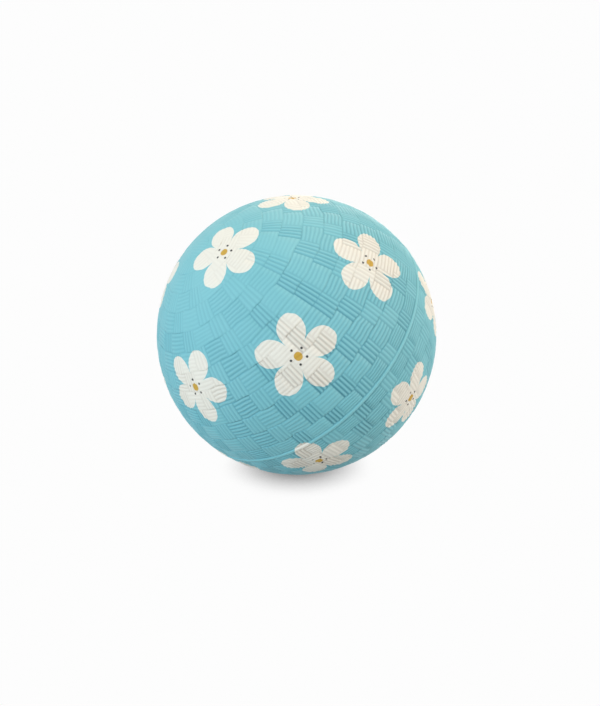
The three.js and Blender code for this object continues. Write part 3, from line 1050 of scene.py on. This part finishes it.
@dataclass(frozen=True)
class PrintedRubber:
    """Vulcanised rubber from a satin mould, with a print in off-white ink."""

    # Filled rubber gives the eye a soft wide highlight, faint clouds in its blue and a dusty bloom where
    # it turns away. Its grooves are darker by painted shade, which follows the depth below the crest. The
    # ink is flat, has painted shade in the grooves, where it also lies thinner, and has an uneven edge
    # because it was pressed onto ribs.
    blue: str = "#75c0cb"
    blue_pale: str = "#88c8d1"
    # Painted shade: the colours of the blue and of the ink at the bottom of the grooves
    shaded_groove_blue: str = "#569dad"
    ink: str = "#efece2"
    shaded_groove_ink: str = "#d3ccc1"
    centre: str = "#c8a03c"
    seed: str = "#2a2a2c"
    roughness: float = 0.62
    roughness_spread: float = 0.06
    ior: float = 1.5
    bloom: float = 0.1
    bloom_roughness: float = 0.4
    petals: int = 5
    waist: float = 0.34
    petal_fullness: float = 0.55
    edge_softness: float = 0.008
    edge_wander: float = 0.05
    centre_reach: float = 0.1
    centre_wander: float = 0.5
    seed_ring: float = 0.2
    seed_reach: float = 0.03
    seeds: int = 5
    cloud: float = 35 * MM
    cloud_detail: float = 3.0
    edge_grain: float = 6 * MM
    edge_detail: float = 3.0

    # A satin mould's grain is under 0.1 mm, too fine to show, so it is drawn five times as coarse
    grain: float = 0.5 * MM
    grain_detail: float = 2.0
    grain_height: float = 0.02 * MM

    def material(self, weave: Weave) -> bpy.types.Material:
        """Makes the material.

        Args:
            weave: Gives the depth of the grooves.

        Returns:
            The material of both cover halves.
        """
        material, tree, shader = new_material("printed moulded rubber")
        node = partial(add_node, tree)
        place = node("ShaderNodeTexCoord", out="Object")
        cloud = node(NOISE, {"Vector": place, "Scale": 1 / self.cloud, "Detail": self.cloud_detail})
        grain = node(NOISE, {"Vector": place, "Scale": 1 / self.grain, "Detail": self.grain_detail})
        depth = node("ShaderNodeAttribute", attribute_name=DEPTH_LAYER, out="Fac")
        # Share of painted groove shade, from the depth below the crest
        groove = node(RANGE, {"Value": depth, "From Max": weave.along_depth})
        petal, middle, seed = self._motif(tree, place)

        # Each layer goes over the one before
        ink = {SHARE: groove, UNDER: linear(self.ink), OVER: linear(self.shaded_groove_ink)}
        ink = node(MIX, ink, out=MIXED, data_type="RGBA")
        colour = linear(self.blue)
        for share, layer in (
            (cloud, linear(self.blue_pale)),
            (groove, linear(self.shaded_groove_blue)),
            (petal, ink),
            (middle, linear(self.centre)),
            (seed, linear(self.seed)),
        ):
            colour = {SHARE: share, UNDER: colour, OVER: layer}
            colour = node(MIX, colour, out=MIXED, data_type="RGBA")
        smoothest = self.roughness - self.roughness_spread
        roughest = self.roughness + self.roughness_spread
        rough = node(RANGE, {"Value": grain, "To Min": smoothest, "To Max": roughest})
        relief = node("ShaderNodeBump", {"Height": grain, "Distance": self.grain_height})
        tree.links.new(colour, shader.inputs["Base Color"])
        tree.links.new(rough, shader.inputs["Roughness"])
        tree.links.new(relief, shader.inputs["Normal"])
        shader.inputs["IOR"].default_value = self.ior
        shader.inputs["Sheen Weight"].default_value = self.bloom
        shader.inputs["Sheen Roughness"].default_value = self.bloom_roughness
        return material

    def _motif(self, tree: bpy.types.NodeTree, place: Socket) -> tuple[Socket, Socket, Socket]:
        """Draws one blossom on the print's map.

        Args:
            tree: Tree of the material.
            place: Object coordinates, for the unevenness of the ink's edge.

        Returns:
            How much of petal, of centre and of seed there is, each from 0 to 1.
        """
        node, chain = partial(add_node, tree), partial(add_chain, tree)
        flat = node("ShaderNodeUVMap", uv_map=PRINT_LAYER)
        across = node("ShaderNodeSeparateXYZ", (flat,), out="X")
        up = node("ShaderNodeSeparateXYZ", (flat,), out="Y")
        away = node("ShaderNodeVectorMath", (flat,), out="Value", operation="LENGTH")
        bearing = node(Op.ARCTAN2, (up, across))
        noise = {"Vector": place, "Scale": 1 / self.edge_grain, "Detail": self.edge_detail}
        noise = node(NOISE, noise)
        uneven = node(RANGE, {"Value": noise, "To Min": -self.edge_wander, "To Max": self.edge_wander})

        # How far petals and centre reach at this bearing
        lobe = chain(bearing, (Op.MULTIPLY, self.petals / 2), (Op.COSINE,), (Op.ABSOLUTE,))
        lobe = node(Op.POWER, (lobe, self.petal_fullness))
        reach = chain(lobe, (Op.MULTIPLY_ADD, 1 - self.waist, self.waist), (Op.ADD, uneven))
        centre_reach = node(Op.MULTIPLY_ADD, (uneven, self.centre_wander, self.centre_reach))

        # Distance from the nearest seed, which stand in a ring
        spoke = chain(bearing, (Op.MULTIPLY, self.seeds / TURN), (Op.FRACT,), (Op.SUBTRACT, 0.5))
        spoke = node(Op.MULTIPLY, (spoke, TURN / self.seeds * self.seed_ring))
        off_ring = node(Op.SUBTRACT, (away, self.seed_ring))
        off_seed = node("ShaderNodeCombineXYZ", (spoke, off_ring))
        off_seed = node("ShaderNodeVectorMath", (off_seed,), out="Value", operation="LENGTH")
        drawn = []
        for edge, distance in ((reach, away), (centre_reach, away), (self.seed_reach, off_seed)):
            inside = node(Op.SUBTRACT, (edge, distance))
            soft = {"Value": inside, "From Min": -self.edge_softness, "From Max": self.edge_softness}
            drawn.append(node(RANGE, soft))
        return drawn[0], drawn[1], drawn[2]


@dataclass(frozen=True)
class PlainRubber:
    """Moulded rubber in one colour, with a dull bloom in soft patches and a fine grain."""

    name: str
    colour: str
    bloom: str
    roughness: float
    roughness_spread: float = 0.08
    ior: float = 1.52
    patch: float = 6 * MM
    patch_detail: float = 4.0

    # Finer than 0.1 mm on the real surface, which wouldn't show, so it is drawn three times as coarse
    grain: float = 0.3 * MM
    grain_detail: float = 2.0
    grain_height: float = 0.03 * MM

    def material(self) -> bpy.types.Material:
        """Makes the material.

        Returns:
            The material.
        """
        material, tree, shader = new_material(self.name)
        node = partial(add_node, tree)
        place = node("ShaderNodeTexCoord", out="Object")
        patch = node(NOISE, {"Vector": place, "Scale": 1 / self.patch, "Detail": self.patch_detail})
        grain = node(NOISE, {"Vector": place, "Scale": 1 / self.grain, "Detail": self.grain_detail})
        colour = {SHARE: patch, UNDER: linear(self.colour), OVER: linear(self.bloom)}
        colour = node(MIX, colour, out=MIXED, data_type="RGBA")
        smoothest = self.roughness - self.roughness_spread
        roughest = self.roughness + self.roughness_spread
        rough = node(RANGE, {"Value": patch, "To Min": smoothest, "To Max": roughest})
        relief = node("ShaderNodeBump", {"Height": grain, "Distance": self.grain_height})
        tree.links.new(colour, shader.inputs["Base Color"])
        tree.links.new(rough, shader.inputs["Roughness"])
        tree.links.new(relief, shader.inputs["Normal"])
        shader.inputs["IOR"].default_value = self.ior
        return material


# Carbon-filled: near black, with a grey bloom that dulls its highlight
DARK_RUBBER = PlainRubber("moulded dark rubber", "#35373a", "#4b4d4f", 0.58)

# Unfilled and soft: cream, with hardly any highlight
PALE_RUBBER = PlainRubber("soft pale rubber", "#d9c79c", "#cbb78a", 0.65)

# Natural latex sheet: amber, dull and unevenly toned
LATEX = PlainRubber("natural rubber sheet", "#b98f5c", "#ab814f", 0.7)


@dataclass
class NeedleValve:
    """Needle valve at the valve pole.

    The housing has a flange and a boss, and the soft core has its nub in the housing's mouth.
    """

    moulding: Moulding
    gap: float = 0.3 * MM
    core_radius: float = 3 * MM
    cavity_radius: float = 3.3 * MM
    neck_radius: float = 4.7 * MM
    boss_radius: float = 6.5 * MM
    mouth_radius: float = 1.5 * MM
    mouth_wall: float = 2.2 * MM
    nub_recess: float = 0.6 * MM
    funnel_radius: float = 0.8 * MM
    funnel_depth: float = 3 * MM
    lip_radius: float = 1.6 * MM
    lip_wall: float = 1.2 * MM
    boss_length: float = 14 * MM
    flange_outside: float = 86.1 * MM
    flange_inside: float = 84.7 * MM
    flange_edge: float = 0.7 * MM
    flange_radius: float = 13.5 * MM
    nub_round: float = 0.125 * MM
    small_round: float = 0.25 * MM
    edge_round: float = 0.6 * MM
    boss_round: float = 1 * MM
    round_steps: int = 5
    sides: int = 96
    sharp: float = math.radians(40)

    def housing(self) -> bpy.types.Object:
        """Turns the housing: neck, flange and boss in one moulding, hollow for the core.

        Returns:
            The piece, at the origin.
        """
        face, top, end = self._heights()
        rim = math.asin(self.flange_radius / self.flange_outside)
        under = self.flange_outside - self.flange_edge
        corners = [
            (self.neck_radius, face, self.edge_round),
            (self.neck_radius, self._height(self.flange_outside, self.neck_radius), self.edge_round),
            (self.flange_radius, self.flange_outside * math.cos(rim), self.small_round),
            (under * math.sin(rim), under * math.cos(rim), self.small_round),
            (self.boss_radius, self._height(self.flange_inside, self.boss_radius), self.edge_round),
            (self.boss_radius, end, self.boss_round),
            (self.lip_radius, end, self.small_round),
            (self.lip_radius, end + self.lip_wall, self.small_round),
            (self.cavity_radius, end + self.lip_wall, 0.0),
            (self.cavity_radius, top, 0.0),
            (self.mouth_radius, top, self.small_round),
            (self.mouth_radius, face, self.edge_round),
        ]
        return self._turned("valve_neck", corners)

    def core(self) -> bpy.types.Object:
        """Turns the core: a plug with a nub, and a funnel in the nub that leads the needle in.

        Returns:
            The piece, at the origin.
        """
        face, top, end = self._heights()
        nub_radius = self.mouth_radius - self.gap
        nub_top = face - self.nub_recess
        foot = end + self.lip_wall + self.gap
        corners = [
            (0.0, nub_top - self.funnel_depth, 0.0),
            (self.funnel_radius, nub_top, self.nub_round),
            (nub_radius, nub_top, self.nub_round),
            (nub_radius, top - self.gap, 0.0),
            (self.core_radius, top - self.gap, self.small_round),
            (self.core_radius, foot, self.edge_round),
            (0.0, foot, 0.0),
        ]
        return self._turned("valve_plug", corners)

    def _heights(self) -> tuple[float, float, float]:
        """Measures along the valve's axis.

        Returns:
            Heights of the neck's face, the top of the cavity and the end of the boss.
        """
        face = self.moulding.valve_face
        end = self._height(self.flange_inside, self.boss_radius) - self.boss_length
        return face, face - self.mouth_wall, end

    def _height(self, radius: float, distance: float) -> float:
        """Gives the height on a sphere at a distance from the axis."""
        return math.sqrt(radius**2 - distance**2)

    def _rounded(self, corners: list[Point]) -> list[Vector]:
        """Rounds the corners of an outline.

        Args:
            corners: Distance from the axis, height, and how far the rounding reaches along both sides.

        Returns:
            The points of the outline.
        """
        outline = []
        befores = corners[-1:] + corners[:-1]
        afters = corners[1:] + corners[:1]
        for before, (distance, height, reach), after in zip(befores, corners, afters):
            corner = Vector((distance, height))
            first = corner + (Vector(before[:2]) - corner).normalized() * reach
            last = corner + (Vector(after[:2]) - corner).normalized() * reach
            steps = self.round_steps if reach else 0
            for step in range(steps + 1):
                share = step / max(1, steps)
                outline.append(first.lerp(corner, share).lerp(corner.lerp(last, share), share))
        return outline

    def _turned(self, name: str, corners: list[Point]) -> bpy.types.Object:
        """Turns an outline about the valve's axis.

        Args:
            name: Of the piece.
            corners: The outline, down its outside. It is closed, or starts and ends on the axis.

        Returns:
            The piece, at the origin.
        """
        skin = Skin()
        outline = self._rounded(corners)
        solid = corners[0][0] == 0.0
        rings = [skin.ring(*point, self.sides) for point in (outline[1:-1] if solid else outline)]
        for upper, lower in zip(rings, rings[1:]):
            skin.stitch(upper, lower)
        if solid:
            skin.close(rings[0], skin.add((0.0, 0.0, outline[0].y)), over=True)
            skin.close(rings[-1], skin.add((0.0, 0.0, outline[-1].y)), over=False)
        else:
            skin.stitch(rings[-1], rings[0])
        mesh = skin.mesh(name, self.moulding.turn(self.moulding.valve_pole))
        mesh.set_sharp_from_angle(angle=self.sharp)
        return add_object(name, mesh)


@dataclass(frozen=True)
class Softbox:
    """Square lamp that faces the ball: its middle and side in metres, its power in watts and its tint."""

    name: str
    place: Point
    side: float
    power: float
    tint: str

    def build(self) -> None:
        """Hangs the lamp, out of the camera's sight."""
        data = bpy.data.lights.new(self.name, "AREA")
        data.size = self.side
        data.energy = self.power
        data.color = linear(self.tint)[:3]
        lamp = add_object(self.name, data)
        lamp.location = self.place
        lamp.visible_camera = False
        lamp.rotation_mode = "QUATERNION"
        lamp.rotation_quaternion = (-Vector(self.place)).to_track_quat("-Z", "Y")


@dataclass
class Studio:
    """Plain pale floor, soft light and the camera."""

    moulding: Moulding
    lamps: tuple[Softbox, ...] = (
        Softbox("left key softbox", (-0.75, -0.75, 0.25), 0.6, 7.4, "#e9f7ff"),
        Softbox("right fill softbox", (0.95, -0.35, 0.3), 0.6, 5.8, "#fffbf4"),
        Softbox("overhead softbox", (0.12, 0.12, 1.05), 0.9, 5.6, "#ffefd4"),
        Softbox("back softbox", (0.28, 0.95, 0.6), 0.7, 3.8, "#ffffff"),
    )
    world_light: float = 0.33
    white: float = 0.982
    paper: float = 0.5
    floor_size: float = 12.0
    shadow_reach: float = 0.6
    shadow_level: float = 0.34
    shadow_fade: float = 1.5
    shadow_samples: int = 32
    camera_distance: float = 355 * MM
    camera_elevation: float = math.radians(10)
    camera_near: float = 10 * MM
    focal_pixels: float = 535.0
    image_width: int = 600
    image_height: int = 706
    ball_pixel: tuple[float, float] = (296.8, 336.1)
    sensor: float = 24.0

    def build(self) -> None:
        """Builds the floor, the world, the lamps and the camera."""
        bpy.context.scene.view_settings.view_transform = "Standard"
        self._floor()
        self._world()
        for lamp in self.lamps:
            lamp.build()
        self._camera()

    def _seen(self, tree: bpy.types.NodeTree) -> Socket:
        """Finds the rays that show the background: from the camera, in gloss and through glass.

        Args:
            tree: Tree of the floor's material or of the world.

        Returns:
            1 on those rays and 0 on others.
        """
        shown = 0.0
        for ray in ("Is Camera Ray", "Is Glossy Ray", "Is Transmission Ray"):
            path = add_node(tree, "ShaderNodeLightPath", out=ray)
            shown = add_node(tree, Op.MAXIMUM, (shown, path))
        return shown

    def _floor(self) -> None:
        """Makes the floor, which shows white apart from a painted shadow of the ball."""
        half = self.floor_size / 2
        corners = [(-half, -half), (half, -half), (half, half), (-half, half)]
        mesh = bpy.data.meshes.new("floor")
        mesh.from_pydata([(x, y, self.moulding.floor_height) for x, y in corners], [], [(0, 1, 2, 3)])
        material, tree, shader = new_material("white paper")
        node = partial(add_node, tree)

        # Matt paper lights the ball, while the camera and gloss see a glowing white with a painted
        # shadow, darker where ambient occlusion finds the ball hiding the sky
        paper = node("ShaderNodeBsdfDiffuse", {"Color": (self.paper, self.paper, self.paper, 1.0)})
        reach = {"Distance": self.shadow_reach}
        # Painted shadow: ambient occlusion, raised and clipped, sets the strength of the floor's glow
        open_sky = node("ShaderNodeAmbientOcclusion", reach, out="AO", samples=self.shadow_samples)
        hidden = {"Value": open_sky, "From Max": self.shadow_level, "To Min": 1.0, "To Max": 0.0}
        hidden = node(RANGE, hidden)
        hidden = node(Op.POWER, (hidden, self.shadow_fade))
        painted_shadow = node(RANGE, {"Value": hidden, "To Min": self.white, "To Max": 0.0})
        shown = node("ShaderNodeEmission", {"Color": painted_shadow})
        surface = node("ShaderNodeMixShader", (self._seen(tree), paper, shown))
        tree.nodes.remove(shader)
        tree.links.new(surface, tree.nodes["Material Output"].inputs["Surface"])
        mesh.materials.append(material)
        add_object("floor", mesh)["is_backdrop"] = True

    def _world(self) -> None:
        """Makes the world, white where it is seen and softer where it lights."""
        world = bpy.data.worlds.new("studio")
        world.use_nodes = True
        tree = world.node_tree
        sky = tree.nodes["Background"]
        sky.inputs["Color"].default_value = (1.0, 1.0, 1.0, 1.0)
        level = {"Value": self._seen(tree), "To Min": self.world_light, "To Max": self.white}
        tree.links.new(add_node(tree, RANGE, level), sky.inputs["Strength"])
        bpy.context.scene.world = world

    def _camera(self) -> None:
        """Places the camera, and turns it so that the ball's centre is at its pixel."""
        data = bpy.data.cameras.new("camera")
        data.sensor_fit = "VERTICAL"
        data.sensor_height = self.sensor
        data.sensor_width = self.sensor
        data.lens = self.focal_pixels / self.image_height * self.sensor
        data.clip_start = self.camera_near
        camera = add_object("camera", data)
        back = Vector((0.0, -math.cos(self.camera_elevation), math.sin(self.camera_elevation)))
        across = self.ball_pixel[0] - self.image_width / 2
        up = self.image_height / 2 - self.ball_pixel[1]
        to_ball = Vector((across, up, -self.focal_pixels))
        aim = (-back).to_track_quat("-Z", "Y")
        camera.location = back * self.camera_distance
        camera.rotation_mode = "QUATERNION"
        camera.rotation_quaternion = aim @ to_ball.rotation_difference(Vector((0.0, 0.0, -1.0)))
        bpy.context.scene.camera = camera


def main() -> None:
    """Builds the ball and its studio."""
    logging.basicConfig(level=logging.INFO)
    cad_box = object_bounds()
    moulding = Moulding.from_frame(frame["record"], *cad_box)
    weave = Weave(moulding.crest_radius - Bead.proud)
    cover = PrintedRubber().material(weave)
    tree = WovenRowTree(cover)
    blossoms = Blossoms()
    halves = (
        CoverHalf("plain_half", Pole.PLAIN, -moulding.valve_pole, moulding, weave, GENTLE_BEAD),
        CoverHalf("valve_half", Pole.VALVE, moulding.valve_pole, moulding, weave, STEEP_BEAD),
    )
    plain_half, valve_half = (half.build(tree, blossoms, cover) for half in halves)
    valve = NeedleValve(moulding)
    housing, core = valve.housing(), valve.core()
    dark, pale, latex = (finish.material() for finish in (DARK_RUBBER, PALE_RUBBER, LATEX))
    housing.data.materials.append(dark)
    core.data.materials.append(pale)
    for piece, node, slot in (
        (plain_half, "plain_cover_half", "cover_rubber"),
        (valve_half, "valve_cover_half", "cover_rubber"),
        (housing, "valve_housing", "valve_rubber"),
        (core, "valve_core", "core_rubber"),
    ):
        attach(piece, BODY)
        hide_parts(node)
        log.info("%s: %d faces", piece.name, len(piece.data.polygons))
    for name, material in (("valve_patch", dark), ("bladder", latex)):
        materials = frame["nodes"][name].data.materials
        materials.clear()
        materials.append(material)
        log.info("%s: a CAD node with the finish %s", name, material.name)
    Studio(moulding).build()


if __name__ == "__main__":
    main()
